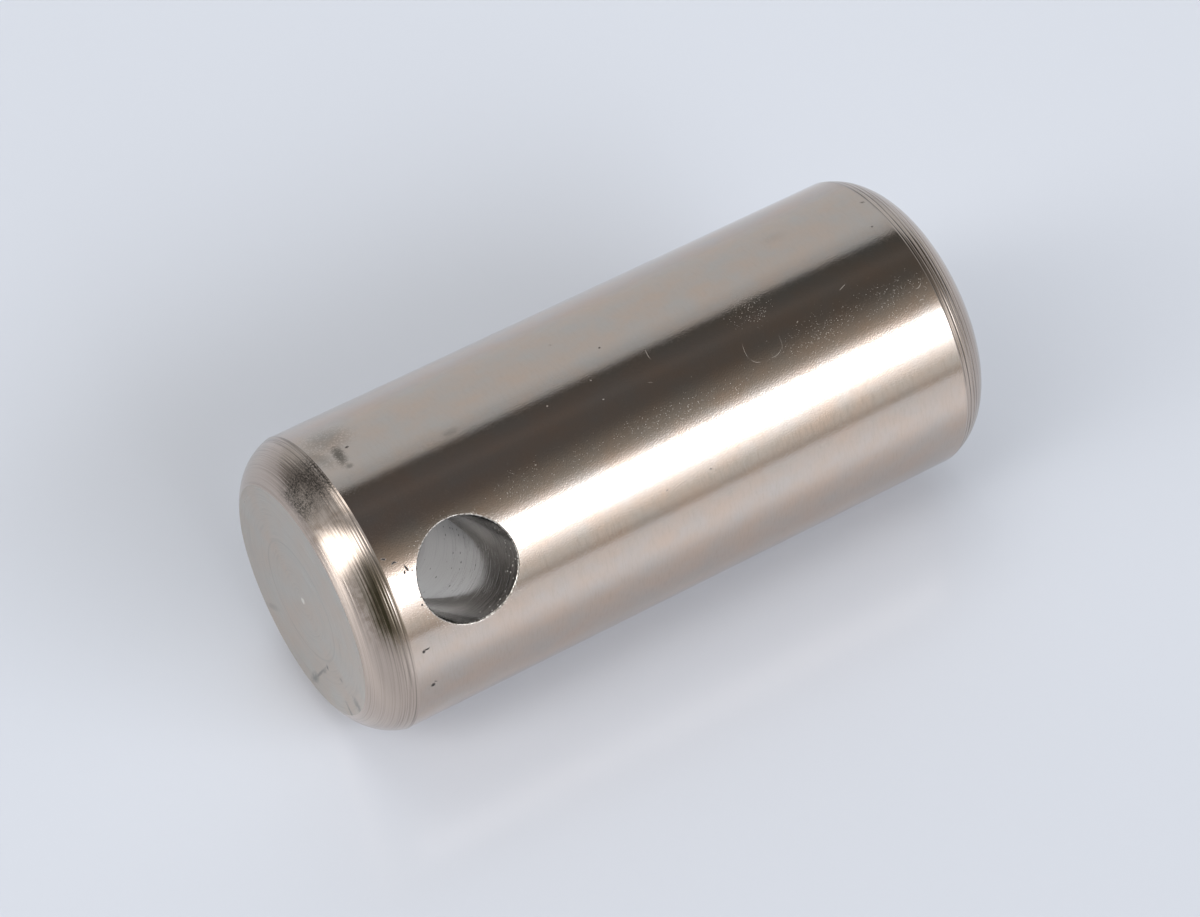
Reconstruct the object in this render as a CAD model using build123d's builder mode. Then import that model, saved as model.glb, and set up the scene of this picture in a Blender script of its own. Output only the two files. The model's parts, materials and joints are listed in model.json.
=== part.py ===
from build123d import *
import os

# Pivot pin, turned and ground from one piece of steel bar. Lengths are in millimetres.
# It stands on its lower end face: the origin is the middle of that face and the axis runs
# up +Z. The cross hole, for the bolt that keeps the pin in its bracket, is near the top.

# Ground bearing surface and overall length
body_diameter = 31.75
overall_length = 72.8

# Rounded ends, the same at top and bottom. The arc is flatter than a full corner radius,
# so it meets the side and the flat end face at slight corners.
end_length = 4.1
end_drop = 3.45
end_radius = 6.0

# Cross hole, drilled through the axis
hole_diameter = 10.5
hole_from_top = 12.0
hole_edge_break = 0.15

body_radius = body_diameter / 2
face_radius = body_radius - end_drop
hole_height = overall_length - hole_from_top


with BuildPart() as pivot_pin:
    # Half of the long section, turned about the axis
    with BuildSketch(Plane.XZ):
        with BuildLine():
            lower_rounding = RadiusArc((face_radius, 0), (body_radius, end_length), -end_radius)
            side = Line(lower_rounding @ 1, (body_radius, overall_length - end_length))
            upper_rounding = RadiusArc(side @ 1, (face_radius, overall_length), -end_radius)
            Polyline(upper_rounding @ 1, (0, overall_length), (0, 0), lower_rounding @ 0)
        make_face()
    revolve(axis=Axis.Z)

    # The hole runs along Y. The tool goes well past both sides.
    with BuildSketch(Plane.XZ):
        with Locations((0, hole_height)):
            Circle(hole_diameter / 2)
    extrude(amount=body_diameter, both=True, mode=Mode.SUBTRACT)

    # Each mouth is a curved edge, broken by a fine chamfer
    bore_wall = pivot_pin.faces().filter_by(GeomType.CYLINDER).sort_by(SortBy.AREA)[0]
    mouth_edges = bore_wall.edges().filter_by(GeomType.LINE, reverse=True)
    chamfer(mouth_edges, length=hole_edge_break)

os.makedirs("parts", exist_ok=True)
pivot_pin.part.label = "pivot_pin"
export_step(pivot_pin.part, "parts/pivot_pin.step")
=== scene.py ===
"""Looks of a steel pivot pin: its ground side, turned ends, faced end faces and drilled cross hole.

The pin stands on its far end in the row frame, with its axis along +Z. The picture shows it lying on
its side, so the floor is an upright plane that touches the side, and the camera and the light are
placed in a lying frame of their own: x along the pin, away from the end with the cross hole, y across
it, away from the camera, and z up from the floor.
"""
import json
import logging
import math
from dataclasses import dataclass, field
from enum import Enum
from functools import cached_property, partial

import bmesh
import bpy
import numpy as np
from bpy.types import Material, Mesh, NodeSocket, NodeTree, Object
from mathutils import Matrix, Vector


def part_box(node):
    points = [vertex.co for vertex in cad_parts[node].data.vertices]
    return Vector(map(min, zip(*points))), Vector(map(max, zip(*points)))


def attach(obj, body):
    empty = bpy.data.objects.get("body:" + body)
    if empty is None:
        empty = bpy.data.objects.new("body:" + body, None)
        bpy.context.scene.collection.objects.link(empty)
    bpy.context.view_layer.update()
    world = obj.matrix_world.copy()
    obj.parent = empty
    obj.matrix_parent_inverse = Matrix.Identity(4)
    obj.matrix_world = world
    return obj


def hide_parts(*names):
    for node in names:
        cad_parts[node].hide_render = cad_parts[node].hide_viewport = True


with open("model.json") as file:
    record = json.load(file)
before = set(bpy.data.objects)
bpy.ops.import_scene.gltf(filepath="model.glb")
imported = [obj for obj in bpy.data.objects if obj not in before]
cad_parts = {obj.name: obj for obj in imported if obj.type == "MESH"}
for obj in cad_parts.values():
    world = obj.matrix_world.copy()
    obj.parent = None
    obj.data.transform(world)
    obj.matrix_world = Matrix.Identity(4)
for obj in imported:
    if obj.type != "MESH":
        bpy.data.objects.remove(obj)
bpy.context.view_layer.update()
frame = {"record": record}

Pair = tuple[float, float]
Triple = tuple[float, float, float]
LOG = logging.getLogger("pivot_pin")
MM = 0.001
WELD = 1e-7


def linear(code: str) -> tuple[float, float, float, float]:
    """Turns an sRGB hex colour into linear red, green, blue and alpha.

    Args:
        code: the colour as #rrggbb.

    Returns:
        The colour as Blender's colour sockets take it.
    """
    parts = [int(code[i:i + 2], 16) / 255 for i in (1, 3, 5)]
    flat = [c / 12.92 if c <= 0.04045 else ((c + 0.055) / 1.055) ** 2.4 for c in parts]
    return (*flat, 1.0)


def add_node(tree: NodeTree, kind: str, *values: object, out: int | str = 0, inputs: dict | None = None,
             **settings: object) -> NodeSocket | None:
    """Adds a node, sets it and links it.

    Args:
        tree: the node tree that gets the node.
        kind: the node's type name, without ShaderNode at its start, and with its operation after a colon.
        values: plain values or sockets for the node's inputs, in order.
        out: name or number of the output that is wanted.
        inputs: more inputs, by socket name.
        settings: the node's own properties, such as data_type.

    Returns:
        The wanted output, or None if the node has none.
    """
    kind, _, operation = kind.partition(":")
    node = tree.nodes.new(kind if "Node" in kind else "ShaderNode" + kind)
    if operation:
        node.operation = operation
    for name, value in settings.items():
        setattr(node, name, value)
    for key, value in [*enumerate(values), *(inputs or {}).items()]:
        if isinstance(value, NodeSocket):
            tree.links.new(value, node.inputs[key])
        else:
            node.inputs[key].default_value = value
    return node.outputs[out] if node.outputs else None


def add_object(name: str, data: bpy.types.ID) -> Object:
    """Puts a new object into the scene.

    Args:
        name: its name.
        data: the mesh or camera that it stands for.

    Returns:
        The object.
    """
    thing = bpy.data.objects.new(name, data)
    bpy.context.scene.collection.objects.link(thing)
    return thing


def window(tree: NodeTree, value: NodeSocket, span: Pair, soft: float) -> NodeSocket:
    """Writes down a soft gate: one where a value lies inside a span, nought outside.

    Args:
        tree: the node tree that gets the gate.
        value: what is compared with the span.
        span: the span's low and high end.
        soft: half the width of the soft edge at each end.

    Returns:
        The gate, from 0 to 1.
    """
    middle, half = (span[0] + span[1]) / 2, (span[1] - span[0]) / 2
    away = add_node(tree, "Math:ABSOLUTE", add_node(tree, "Math:SUBTRACT", value, middle))
    return add_node(tree, "MapRange", away, half + soft, half - soft, 0.0, 1.0,
                    interpolation_type="SMOOTHSTEP")


class Zone(Enum):
    """The differently made surfaces of the pin, in the order of its material slots."""

    GROUND = 0
    TURNED = 1
    FACED = 2
    DRILLED = 3
    BROKEN_EDGE = 4


@dataclass(frozen=True)
class PinSizes:
    """The pin's sizes in metres, most of them read from the frame."""

    radius: float
    length: float
    end_length: float
    hole_radius: float
    hole_height: float
    end_drop: float = 3.45 * MM
    end_radius: float = 6.0 * MM
    edge_break: float = 0.15 * MM

    @classmethod
    def from_frame(cls) -> "PinSizes":
        """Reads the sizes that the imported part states.

        Returns:
            The pin's sizes.
        """
        low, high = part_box("pivot_pin")
        mounts = {m["name"]: m for m in frame["record"]["mounts"]}
        side, hole = mounts["side"], mounts["cross_hole"]
        length = high.z - low.z
        return cls(
            radius=side["dims"]["r_mm"] * MM,
            length=length,
            end_length=(length - side["dims"]["length_mm"] * MM) / 2,
            hole_radius=hole["dims"]["r_mm"] * MM,
            hole_height=hole["pos_m"][2],
        )

    @property
    def face_radius(self) -> float:
        """Radius of the flat left in the middle of each end."""
        return self.radius - self.end_drop

    @property
    def side_top(self) -> float:
        """Height at which the side ends and the upper end's rounding begins."""
        return self.length - self.end_length

    @property
    def bore(self) -> Matrix:
        """Takes a point counted along the hole's axis, and across and up from it, to the row frame."""
        return Matrix(((0, -1, 0, 0), (1, 0, 0, 0), (0, 0, 1, self.hole_height), (0, 0, 0, 1)))

    @property
    def rounding_centre(self) -> np.ndarray:
        """Finds the point that the rounding's arc is struck from.

        Returns:
            Its radius and its depth below the end face, in metres.
        """
        chord = np.array([self.end_drop, self.end_length])
        half = np.linalg.norm(chord) / 2
        outward = np.array([chord[1], -chord[0]]) / (2 * half)
        middle = np.array([self.face_radius, 0.0]) + chord / 2
        return middle - outward * math.sqrt(self.end_radius ** 2 - half ** 2)

    @property
    def rounding_angles(self) -> Pair:
        """Finds where the rounding's arc begins and ends.

        Returns:
            The directions of its ends from its centre, at the face and at the side, in radians.
        """
        to_face = (self.face_radius, 0.0) - self.rounding_centre
        to_side = (self.radius, self.end_length) - self.rounding_centre
        return math.atan2(to_face[1], to_face[0]), math.atan2(to_side[1], to_side[0])

    @property
    def rounding_length(self) -> float:
        """Distance along the rounding, from the face to the side."""
        first, last = self.rounding_angles
        return self.end_radius * (last - first)

    def rounding(self, shares: np.ndarray) -> np.ndarray:
        """Points of one end's rounding.

        Args:
            shares: how far along the arc each point lies, from 0 at the flat face to 1 at the side.

        Returns:
            Rows of radius and depth below the end face, in metres.
        """
        first, last = self.rounding_angles
        angles = first + (last - first) * shares
        return self.rounding_centre + self.end_radius * np.stack([np.cos(angles), np.sin(angles)], 1)


@dataclass(frozen=True)
class Lying:
    """The frame in which the pin lies on the floor as it does in the picture."""

    sizes: PinSizes
    roll_deg: float = 50.13

    def matrix(self, lift: float = 0.0) -> Matrix:
        """Takes a point or direction from the lying frame to the row frame.

        Args:
            lift: height above the floor of the frame's origin.

        Returns:
            The transform, in metres.
        """
        turn = math.radians(self.roll_deg)
        along = Vector((0, 0, -1))
        up = Vector((math.sin(turn), -math.cos(turn), 0))
        origin = Vector((0, 0, self.sizes.length)) - up * (self.sizes.radius - lift)
        rows = [(*axis, 0) for axis in (along, up.cross(along), up)] + [(*origin, 1)]
        return Matrix(rows).transposed()

    @property
    def home(self) -> Matrix:
        """Takes a point of the lying frame, counted from the pin's axis, to the row frame."""
        return self.matrix(self.sizes.radius)


@dataclass(frozen=True)
class ToolMarks:
    """What the hand-fed tool left on one rounded end: the deeper grooves, over shallow turns.

    Each groove is given by its distance from the flat face along the rounding and by its depth, in mm.
    """

    grooves: tuple[Pair, ...]
    width: float = 0.1 * MM

    def depth(self, along: np.ndarray) -> np.ndarray:
        """How deep the grooves cut.

        Args:
            along: distances from the flat face along the rounding, in metres.

        Returns:
            A depth in metres for each distance.
        """
        cut = np.zeros_like(along)
        for place, depth in self.grooves:
            cut += depth * MM * np.exp(-((along - place * MM) / self.width) ** 2)
        return cut


NEAR_MARKS = ToolMarks((
    (0.4, 0.009), (0.85, 0.005), (1.5, 0.012), (1.9, 0.008), (2.25, 0.011), (2.55, 0.008), (2.9, 0.015),
    (3.3, 0.011), (3.65, 0.016), (3.9, 0.008), (4.15, 0.018), (4.4, 0.009), (4.65, 0.019), (4.92, 0.014),
    (5.22, 0.022),
))
FAR_MARKS = ToolMarks((
    (0.4, 0.006), (1.7, 0.007), (2.4, 0.012), (3.0, 0.026), (3.45, 0.012), (3.72, 0.032), (4.2, 0.046),
    (4.5, 0.014), (4.8, 0.046), (5.12, 0.016), (5.37, 0.034),
))


@dataclass(frozen=True)
class Lathe:
    """The turned bar: one profile, revolved by Geometry Nodes, which also cut the tool's marks.

    The rows of the rounding crowd towards the side, where the grooves are deepest. The fade is the shares
    of the rounding over which the grooves begin at the face and end at the side, and turns_end is the
    share from which the shallow turns fade out. Noise between the two values of noise makes a cut deeper
    or shallower by the factors in swell.
    """

    sizes: PinSizes
    marks: tuple[ToolMarks, ToolMarks] = (NEAR_MARKS, FAR_MARKS)
    segments: int = 288
    end_rows: int = 100
    crowding: float = 1.25
    fade: Pair = (1 / 12, 1 / 60)
    turns_end: float = 0.97
    face_rows: int = 5
    side_rows: int = 12
    window_rows: int = 48
    feed: float = 0.33 * MM
    turn_depth: float = 0.003 * MM
    unevenness: float = 90.0
    noise: Pair = (0.3, 0.65)
    swell: Pair = (0.4, 1.35)
    seed: int = 7
    seed_step: float = 13.7

    @property
    def column(self) -> float:
        """The angle from one column of the mesh to the next."""
        return 2 * math.pi / self.segments

    @property
    def window_columns(self) -> int:
        """Half the width of the gap left for each mouth, in columns."""
        reach = self.sizes.side_top - self.sizes.hole_height
        return round(reach / (2 * math.pi * self.sizes.radius) * self.segments)

    @property
    def window_heights(self) -> np.ndarray:
        """Heights of the rows beside the gaps, which lie evenly about the hole up to the side's end."""
        top = self.sizes.side_top
        return np.linspace(2 * self.sizes.hole_height - top, top, self.window_rows + 1)

    @property
    def inputs(self) -> dict[str, float | int]:
        """Sets the tree's named inputs.

        Returns:
            The value of each, by its name.
        """
        s = self.sizes
        return {
            "Radius": s.radius, "Length": s.length, "End Length": s.end_length,
            "End Reach": s.rounding_length, "Face Radius": s.face_radius, "Segments": self.segments,
            "Feed": self.feed, "Turn Depth": self.turn_depth, "Unevenness": self.unevenness,
            "Window Low": float(self.window_heights[0]), "Window Angle": self.window_columns * self.column,
            "Seed": self.seed,
        }

    def profile(self) -> tuple[np.ndarray, np.ndarray, np.ndarray]:
        """Draws the half section from the top middle down to the bottom middle.

        Returns:
            Rows of radius and height, each point's distance along its rounding from the face, and the
            depth of its groove, all in metres.
        """
        s = self.sizes
        shares = 1 - (1 - np.linspace(0, 1, self.end_rows + 1)) ** self.crowding
        flat = np.stack([np.linspace(0, s.face_radius, self.face_rows + 1)[:-1], np.zeros(self.face_rows)], 1)
        end = np.concatenate([flat, s.rounding(shares)])
        on_flat = np.zeros(self.face_rows)
        along = np.concatenate([on_flat, shares * s.rounding_length])
        fade = np.ones_like(shares)
        for share, stretch in zip((shares, 1 - shares), self.fade):
            fade = fade * np.sin(np.pi / 2 * np.clip(share / stretch, 0, 1))
        near, far = (np.concatenate([on_flat, m.depth(shares * s.rounding_length) * fade])
                     for m in self.marks)
        low, top = self.window_heights[[0, -1]]
        heights = np.concatenate([np.linspace(top, low, self.window_rows + 1)[1:],
                                  np.linspace(low, s.end_length, self.side_rows + 1)[1:-1]])
        side = np.stack([np.full(len(heights), s.radius), heights], 1)
        none = np.zeros(len(heights))
        return (np.concatenate([end * (1, -1) + (0, s.length), side, end[::-1]]),
                np.concatenate([along, none, along[::-1]]), np.concatenate([near, none, far[::-1]]))

    def tree(self, finishes: dict[Zone, Material]) -> NodeTree:
        """Builds the tree that revolves the profile, cuts the marks and leaves the gaps for the mouths.

        Args:
            finishes: the material of each zone.

        Returns:
            The Geometry Nodes tree.
        """
        tree = bpy.data.node_groups.new("turned_bar", "GeometryNodeTree")
        sockets = {name: "Int" if isinstance(value, int) else "Float" for name, value in self.inputs.items()}
        for name, kind in {"Profile": "Geometry", **sockets}.items():
            tree.interface.new_socket(name, in_out="INPUT", socket_type="NodeSocket" + kind)
        tree.interface.new_socket("Bar", in_out="OUTPUT", socket_type="NodeSocketGeometry")
        given = tree.nodes.new("NodeGroupInput").outputs
        node = partial(add_node, tree)
        along, groove = (node("GeometryNodeInputNamedAttribute", inputs={"Name": name}, data_type="FLOAT")
                         for name in ("along", "groove"))

        # The sweep puts x outwards from the circle and y downwards
        position = node("GeometryNodeInputPosition")
        x, y, z = node("SeparateXYZ", position).node.outputs
        swept = node("CombineXYZ", node("Math:SUBTRACT", x, given["Radius"]), node("Math:MULTIPLY", y, -1.0))
        curve = node("GeometryNodeMeshToCurve", given["Profile"])
        curve = node("GeometryNodeSetPosition", curve, inputs={"Position": swept})
        circle = node("GeometryNodeCurvePrimitiveCircle", mode="RADIUS", inputs={
            "Resolution": given["Segments"], "Radius": given["Radius"]})
        bar = node("GeometryNodeCurveToMesh", circle, inputs={"Profile Curve": curve})

        # Each turn of the tool leaves a shallow scallop, uneven from turn to turn and round the end
        seed = node("Math:MULTIPLY", given["Seed"], self.seed_step)
        turns = node("Math:DIVIDE", along, given["Feed"])
        turn = node("Math:FLOOR", turns)
        swing = node("Math:MULTIPLY_ADD", node("Math:SUBTRACT", turns, turn), 2.0, -1.0)
        scallop = node("Math:SUBTRACT", 1.0, node("Math:MULTIPLY", swing, swing))
        luck = node("TexWhiteNoise", inputs={"W": node("Math:ADD", turn, seed)}, out="Value",
                    noise_dimensions="1D")
        uneven = node("TexNoise", position, noise_dimensions="4D", inputs={
            "W": node("Math:ADD", seed, turns), "Scale": given["Unevenness"], "Detail": 1.0})
        swell = node("MapRange", uneven, *self.noise, *self.swell)
        reach = node("Math:DIVIDE", along, given["End Reach"])
        fade = node("Math:MULTIPLY", reach, node("MapRange", reach, 1.0, self.turns_end, 0.0, 1.0))
        shallow = node("Math:MULTIPLY", node("Math:MULTIPLY", scallop, luck),
                       node("Math:MULTIPLY", given["Turn Depth"], fade))
        cut = node("Math:MULTIPLY", node("Math:ADD", shallow, groove), swell)
        inwards = node("VectorMath:SCALE", node("GeometryNodeInputNormal"), inputs={
            "Scale": node("Math:MULTIPLY", cut, -1.0)})
        bar = node("GeometryNodeSetPosition", bar, inputs={"Offset": inwards})
        bar = node("GeometryNodeMergeByDistance", bar, inputs={"Distance": WELD})

        # The gaps lie to either side of the Y axis
        angle = node("Math:ABSOLUTE", node("Math:ARCTAN2", x, node("Math:ABSOLUTE", y)))
        near = node("Math:LESS_THAN", angle, given["Window Angle"])
        above = node("Math:GREATER_THAN", z, given["Window Low"])
        below = node("Math:LESS_THAN", z, node("Math:SUBTRACT", given["Length"], given["End Length"]))
        gap = node("Math:MULTIPLY", near, node("Math:MULTIPLY", above, below))
        bar = node("GeometryNodeDeleteGeometry", bar, gap, domain="FACE")
        bar = node("GeometryNodeRealizeInstances", bar)

        # Ground all over, then turned where the ends round off, then faced on the flats
        middle = node("Math:MULTIPLY", given["Length"], 0.5)
        off_middle = node("Math:ABSOLUTE", node("Math:SUBTRACT", z, middle))
        at_end = node("Math:GREATER_THAN", off_middle, node("Math:SUBTRACT", middle, given["End Length"]))
        spread = node("VectorMath:LENGTH", node("CombineXYZ", x, y), out="Value")
        on_flat = node("Math:MULTIPLY", at_end, node("Math:LESS_THAN", spread, given["Face Radius"]))
        for zone, where in ((Zone.GROUND, True), (Zone.TURNED, at_end), (Zone.FACED, on_flat)):
            bar = node("GeometryNodeSetMaterial", bar, where, finishes[zone])
        node("NodeGroupOutput", bar)
        return tree

    def build(self, finishes: dict[Zone, Material]) -> Mesh:
        """Revolves the profile and returns the bar as a plain mesh with two gaps in its side.

        Args:
            finishes: the material of each zone.

        Returns:
            The bar's mesh.
        """
        points, along, groove = self.profile()
        mesh = bpy.data.meshes.new("half_section")
        mesh.from_pydata([(r, z, 0) for r, z in points], [(i, i + 1) for i in range(len(points) - 1)], [])
        for name, values in (("along", along), ("groove", groove)):
            mesh.attributes.new(name, "FLOAT", "POINT").data.foreach_set("value", values.astype(np.float32))
        blank = add_object("half_section", mesh)
        modifier = blank.modifiers.new("lathe", "NODES")
        modifier.node_group = self.tree(finishes)
        for socket in modifier.node_group.interface.items_tree:
            if socket.name in self.inputs:
                modifier[socket.identifier] = self.inputs[socket.name]
        graph = bpy.context.evaluated_depsgraph_get()
        bar = bpy.data.meshes.new_from_object(blank.evaluated_get(graph), depsgraph=graph)
        blank.modifiers.remove(modifier)
        bpy.data.objects.remove(blank)
        bpy.data.meshes.remove(mesh)
        return bar


@dataclass(frozen=True)
class CrossHole:
    """The drilled hole: the side's skin round each mouth, the broken edge and the wall.

    The rings of the skin crowd towards the mouth. The fullness of the broken edge runs from 0, a flat
    chamfer, to 1, a full rounding.
    """

    sizes: PinSizes
    lathe: Lathe
    skin_rings: int = 9
    crowding: float = 1.6
    edge_rings: int = 3
    fullness: float = 0.5
    wall_rows: int = 24

    def border(self) -> np.ndarray:
        """Follows the gap's outline once round, on the lathe's own grid.

        Returns:
            Rows of x and height.
        """
        columns = self.lathe.window_columns
        across = [self.sizes.radius * math.sin(k * self.lathe.column) for k in range(-columns, columns + 1)]
        heights = self.lathe.window_heights
        low = [(x, heights[0]) for x in across[:-1]]
        right = [(across[-1], z) for z in heights[:-1]]
        high = [(x, heights[-1]) for x in across[:0:-1]]
        left = [(across[0], z) for z in heights[:0:-1]]
        return np.array(low + right + high + left)

    def on_side(self, flat: np.ndarray, inwards: float = 0.0) -> np.ndarray:
        """Puts points on the side.

        Args:
            flat: rows of x and height.
            inwards: how far the points then lie towards the XZ plane.

        Returns:
            Rows of x, distance from the XZ plane and height.
        """
        x, height = flat.T
        return np.stack([x, np.sqrt(self.sizes.radius ** 2 - x ** 2) - inwards, height], 1)

    def rings(self) -> list[tuple[Zone, np.ndarray]]:
        """Loops of points from the gap's outline over the front mouth's edge to the middle of the hole.

        Returns:
            For each loop, the zone of the strip that leads to it, and its x, distance from the XZ plane
            and height.
        """
        s = self.sizes
        outer = self.border()
        turn = np.arctan2(outer[:, 1] - s.hole_height, outer[:, 0])
        ray = np.stack([np.cos(turn), np.sin(turn)], 1)
        middle = np.array([0.0, s.hole_height])
        lip = middle + ray * (s.hole_radius + s.edge_break)
        wall = middle + ray * s.hole_radius
        loops = []
        for share in 1 - (1 - np.linspace(0, 1, self.skin_rings + 1)) ** self.crowding:
            loops.append((Zone.GROUND, self.on_side(outer + (lip - outer) * share)))
        start, corner, inner = loops[-1][1], self.on_side(wall), self.on_side(wall, s.edge_break)
        for share in np.linspace(0, 1, self.edge_rings + 1)[1:]:
            full = start * (1 - share) ** 2 + 2 * corner * share * (1 - share) + inner * share ** 2
            flat = start * (1 - share) + inner * share
            loops.append((Zone.BROKEN_EDGE, full * self.fullness + (1 - self.fullness) * flat))
        for share in np.linspace(0, 1, self.wall_rows // 2 + 1)[1:]:
            loops.append((Zone.DRILLED, inner * (1, 1 - share, 1)))
        return loops

    def cut_into(self, bar: Mesh, materials: list[Material]) -> None:
        """Fills the bar's two gaps with the mouths and the wall of the hole.

        Args:
            bar: the lathe's mesh, which is changed.
            materials: one for each zone, in order.
        """
        work = bmesh.new()
        work.from_mesh(bar)
        # The bar's material numbers follow its own list, so they are put in the order of the zones
        order = [materials.index(m) for m in bar.materials]
        for f in work.faces:
            f.material_index = order[f.material_index]
        for side in (-1, 1):
            loops = [[work.verts.new((x, side * y, z)) for x, y, z in points] for _, points in self.rings()]
            for outer, inner, (zone, _) in zip(loops, loops[1:], self.rings()[1:]):
                for i in range(len(outer)):
                    j = (i + 1) % len(outer)
                    quad = (outer[i], outer[j], inner[j], inner[i])
                    work.faces.new(quad if side < 0 else quad[::-1]).material_index = zone.value
        bmesh.ops.remove_doubles(work, verts=work.verts, dist=2 * WELD)
        for f in work.faces:
            f.smooth = True
        loose = [e for e in work.edges if not e.is_manifold]
        LOG.info("pin mesh: %d faces, %d open edges", len(work.faces), len(loose))
        bar.materials.clear()
        for material in materials:
            bar.materials.append(material)
        work.to_mesh(bar)
        work.free()


@dataclass(frozen=True)
class Pin:
    """The whole pin as one piece of steel."""

    sizes: PinSizes = field(default_factory=PinSizes.from_frame)

    def set_normals(self, mesh: Mesh) -> None:
        """Gives each corner the true normal of the surface that its face belongs to.

        Args:
            mesh: the finished pin, which is changed.
        """
        def read(items: bpy.types.bpy_prop_collection, name: str, kind: type = int) -> np.ndarray:
            """Reads one property of all items.

            Args:
                items: the mesh's corners, edges, faces or points.
                name: the property.
                kind: int for whole numbers, or float for rows of three parts.

            Returns:
                The values, in order.
            """
            values = np.zeros((len(items), 3) if kind is float else len(items), kind)
            items.foreach_get(name, values.ravel())
            return values

        s = self.sizes
        kind = np.repeat(read(mesh.polygons, "material_index"), read(mesh.polygons, "loop_total"))
        at = read(mesh.vertices, "co", float)[read(mesh.loops, "vertex_index")]

        # Edges between zones are creases, so that each zone's own faces alone shape its normals
        edge = read(mesh.loops, "edge_index")
        low, high = np.full(len(mesh.edges), len(Zone)), np.full(len(mesh.edges), -1)
        np.minimum.at(low, edge, kind)
        np.maximum.at(high, edge, kind)
        sharp = mesh.attributes.get("sharp_edge") or mesh.attributes.new("sharp_edge", "BOOLEAN", "EDGE")
        sharp.data.foreach_set("value", low != high)
        mesh.update()
        normals = read(mesh.corner_normals, "vector", float)
        ground, faced, drilled = (kind == z.value for z in (Zone.GROUND, Zone.FACED, Zone.DRILLED))
        normals[ground] = at[ground] * (1, 1, 0) / s.radius
        normals[faced] = np.sign(at[faced][:, 2:] - s.length / 2) * (0, 0, 1)
        normals[drilled] = ((0, 0, s.hole_height) - at[drilled]) * (1, 0, 1) / s.hole_radius
        normals /= np.linalg.norm(normals, axis=1)[:, None]
        mesh.normals_split_custom_set(normals.tolist())

    def build(self, finishes: dict[Zone, Material]) -> Object:
        """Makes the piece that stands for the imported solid.

        Args:
            finishes: the material of each zone.

        Returns:
            The finished object, at the origin.
        """
        lathe = Lathe(self.sizes)
        bar = lathe.build(finishes)
        bar.name = "pin_body"
        CrossHole(self.sizes, lathe).cut_into(bar, [finishes[z] for z in Zone])
        self.set_normals(bar)
        pin = add_object("pin_body", bar)
        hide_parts("pivot_pin")
        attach(pin, "root")
        LOG.info("built %s", pin.name)
        return pin


@dataclass(frozen=True)
class Mark:
    """A spot, smear or hair on the surface, its lengths in mm and its turn in degrees.

    On the side a place is the distance from the end with the hole and the way round from the top towards
    the camera. On that end's face it is the distance to the camera's side of the middle and up from it.
    The size is length and width. A sag bends a hair by that much. A ragged mark is eaten into at its
    outline, and its soft edge is counted in half widths.
    """

    at: Pair
    size: Pair
    turn: float = 0.0
    sag: float = 0.0
    ragged: float = 1.0
    soft: float = 0.4
    strength: float = 1.0


SMEARS = (
    Mark((6.5, -2.8), (1.1, 3.0), 8, ragged=3.0, soft=0.7, strength=0.85),
    Mark((6.6, -5.6), (4.2, 3.4), ragged=5.0, soft=0.8, strength=0.42),
    Mark((4.6, -3.6), (1.6, 3.4), -20, ragged=4.0, soft=0.8, strength=0.4),
    Mark((6.6, -0.9), (0.7, 0.6), ragged=2.0, soft=0.6, strength=0.5),
    Mark((17.0, 0.6), (1.6, 0.7), ragged=3.0, soft=0.8, strength=0.25),
    Mark((58.0, -4.6), (2.2, 1.4), ragged=4.0, soft=0.9, strength=0.1),
)
SPOTS = (
    Mark((7.67, -3.3), (0.42, 0.3), strength=0.9),
    Mark((4.6, 9.35), (0.5, 0.22), 30),
    Mark((5.38, 10.05), (0.62, 0.2), sag=0.12),
    Mark((6.3, 11.05), (0.24, 0.75), -12, sag=0.12),
    Mark((5.98, 11.35), (0.2, 0.34), 20),
    Mark((6.75, 11.5), (0.18, 0.14), strength=0.8),
    Mark((6.45, 12.1), (0.14, 0.12), strength=0.8),
    Mark((6.77, 13.4), (0.42, 0.16)),
    Mark((6.6, 14.2), (0.3, 0.16), -35),
    Mark((6.4, 15.0), (0.22, 0.2), 15),
    Mark((5.2, 19.72), (0.32, 0.34)),
    Mark((5.58, 19.62), (0.62, 0.2), sag=-0.08),
    Mark((5.65, 24.5), (0.46, 0.48)),
    Mark((5.95, 24.15), (0.4, 0.14), 40, strength=0.8),
    Mark((35.0, -0.94), (0.24, 0.22), strength=0.9),
    Mark((31.3, -4.2), (0.3, 0.12), 60, strength=0.5),
    Mark((39.16, 15.38), (0.2, 0.18), strength=0.7),
    Mark((34.07, 15.43), (0.18, 0.16), strength=0.6),
    Mark((66.91, -0.1), (0.26, 0.2), strength=0.8),
    Mark((68.2, -3.7), (0.5, 0.26), 20, strength=0.6),
)
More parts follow.
